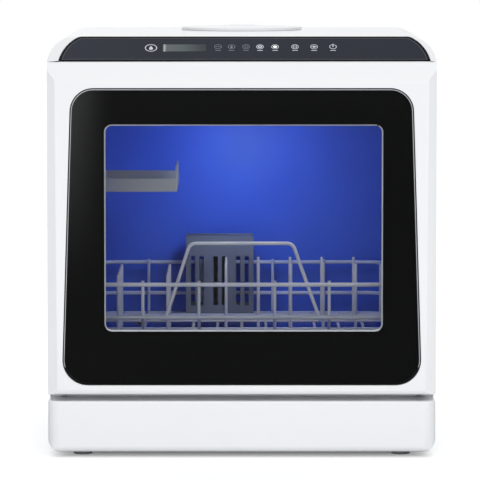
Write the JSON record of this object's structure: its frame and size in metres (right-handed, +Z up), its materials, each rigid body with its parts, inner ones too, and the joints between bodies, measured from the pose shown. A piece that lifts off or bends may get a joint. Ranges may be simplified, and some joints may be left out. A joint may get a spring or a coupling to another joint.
{
  "type": "countertop dishwasher",
  "caption": "Tabletop dishwasher with a drop-down glass door, sloped touch band, wire rack, cup shelf, spray arms, tank with filling lid, pumps and drying fan.",
  "frame": {"origin": "centre of the footprint, on the surface that the feet stand on", "axes": "+Z up, -Y towards the user in front of the door, +X to the right as seen from the front"},
  "size_m": [0.43, 0.435, 0.4691],
  "materials": {
    "white_shell": "satin",
    "white_panel": "satin",
    "rear_sheet": "matte",
    "foot_rubber": "matte",
    "seal_rubber": "matte",
    "screw_steel": "satin",
    "band_glass": "gloss",
    "display": "gloss",
    "board": "matte",
    "tank_plastic": "translucent",
    "tub_liner": "satin",
    "dark_plastic": "matte",
    "motor_metal": "satin",
    "impeller_plastic": "matte",
    "hose_rubber": "matte",
    "heater_steel": "polished",
    "led": "gloss",
    "runner_plastic": "matte",
    "door_glass": "polished",
    "black_print": "gloss",
    "trim_metal": "polished",
    "door_liner": "satin",
    "cover_grey": "satin",
    "rack_coat": "satin",
    "shelf_grey": "satin",
    "basket_grey": "satin",
    "filter_steel": "satin",
    "arm_grey": "satin"
  },
  "bodies": {
    "cabinet": {"base_tray": "white_shell", "feet": "foot_rubber", "side_panel_left": "white_panel", "side_panel_right": "white_panel", "rear_panel": "rear_sheet", "rear_screws": "screw_steel", "top_cover": "white_shell", "control_glass": "band_glass", "display_module": "display", "control_board": "board", "fill_funnel": "white_shell", "water_tank": "tank_plastic", "tub": "tub_liner", "tub_seal": "seal_rubber", "lock_body": "dark_plastic", "hinge_brackets": "screw_steel", "sump": "tank_plastic", "spray_manifold": "tank_plastic", "wash_pump_housing": "tank_plastic", "wash_pump_motor": "motor_metal", "wash_pump_hose": "hose_rubber", "drain_pump_body": "dark_plastic", "drain_hose": "hose_rubber", "tank_outlet_hose": "hose_rubber", "heater": "heater_steel", "feed_pipe": "tank_plastic", "fan_housing": "dark_plastic", "inlet_valve": "tank_plastic", "drain_spigot": "dark_plastic", "cord_gland": "dark_plastic", "led_strip": "led", "rack_runners": "runner_plastic", "shelf_bracket": "shelf_grey", "lid_pin": "screw_steel"},
    "door": {"door_frame": "white_shell", "door_glass": "door_glass", "glass_mask": "black_print", "window_trim": "trim_metal", "window_liner": "dark_plastic", "inner_glass": "door_glass", "door_inner_panel": "door_liner", "hinge_pins": "screw_steel", "latch_hook": "runner_plastic", "detergent_cup": "door_liner"},
    "rack": {"rack_floor": "rack_coat", "rack_rails": "rack_coat", "rack_uprights": "rack_coat", "rack_handle": "rack_coat", "rack_tines": "rack_coat", "rack_glides": "runner_plastic"},
    "detergent_cover": {"detergent_cover": "cover_grey"},
    "cutlery_basket": {"cutlery_basket": "basket_grey"},
    "cup_shelf": {"cup_shelf": "shelf_grey"},
    "fill_lid": {"fill_lid": "white_shell"},
    "filter": {"filter": "filter_steel"},
    "lower_spray_arm": {"lower_spray_arm": "arm_grey"},
    "upper_spray_arm": {"upper_spray_arm": "arm_grey"},
    "wash_impeller": {"wash_impeller": "impeller_plastic"},
    "drain_impeller": {"drain_impeller": "impeller_plastic"},
    "fan_blades": {"fan_blades": "impeller_plastic"}
  },
  "joints": [
    {"name": "door_hinge", "type": "hinge", "parent": "cabinet", "child": "door", "pos_m": [0, -0.201, 0.082], "axis": [1, 0, 0], "range_deg": [0, 90]},
    {"name": "rack_slide", "type": "slide", "parent": "cabinet", "child": "rack", "axis": [0, -1, 0], "range_m": [0, 0.11]},
    {"name": "detergent_slide", "type": "slide", "parent": "door", "child": "detergent_cover", "axis": [1, 0, 0], "range_m": [0, 0.062]},
    {"name": "basket_lift", "type": "slide", "parent": "rack", "child": "cutlery_basket", "axis": [0, 0, 1], "range_m": [0, 0.12]},
    {"name": "shelf_fold", "type": "hinge", "parent": "cabinet", "child": "cup_shelf", "pos_m": [-0.172, -0.038, 0.29], "axis": [0, -1, 0], "range_deg": [0, 80]},
    {"name": "fill_lid_hinge", "type": "hinge", "parent": "cabinet", "child": "fill_lid", "pos_m": [0, 0.1875, 0.4662], "axis": [-1, 0, 0], "range_deg": [0, 100]},
    {"name": "filter_twist", "type": "hinge", "parent": "cabinet", "child": "filter", "pos_m": [0.09, -0.07, 0.098], "axis": [0, 0, 1], "range_deg": [0, 45]},
    {"name": "lower_arm_spin", "type": "hinge", "parent": "cabinet", "child": "lower_spray_arm", "pos_m": [0, -0.012, 0.113], "axis": [0, 0, 1], "continuous": true},
    {"name": "upper_arm_spin", "type": "hinge", "parent": "cabinet", "child": "upper_spray_arm", "pos_m": [0, -0.012, 0.396], "axis": [0, 0, 1], "continuous": true},
    {"name": "wash_pump_spin", "type": "hinge", "parent": "cabinet", "child": "wash_impeller", "pos_m": [0, 0.045, 0.048], "axis": [1, 0, 0], "continuous": true},
    {"name": "drain_pump_spin", "type": "hinge", "parent": "cabinet", "child": "drain_impeller", "pos_m": [0.15, -0.07, 0.031], "axis": [1, 0, 0], "continuous": true},
    {"name": "fan_spin", "type": "hinge", "parent": "cabinet", "child": "fan_blades", "pos_m": [-0.12, 0.172, 0.106], "axis": [0, 1, 0], "continuous": true}
  ],
  "couplings": [
    {"joint": "rack_slide", "follows": "door_hinge", "m_per_rad": 0.07}
  ]
}
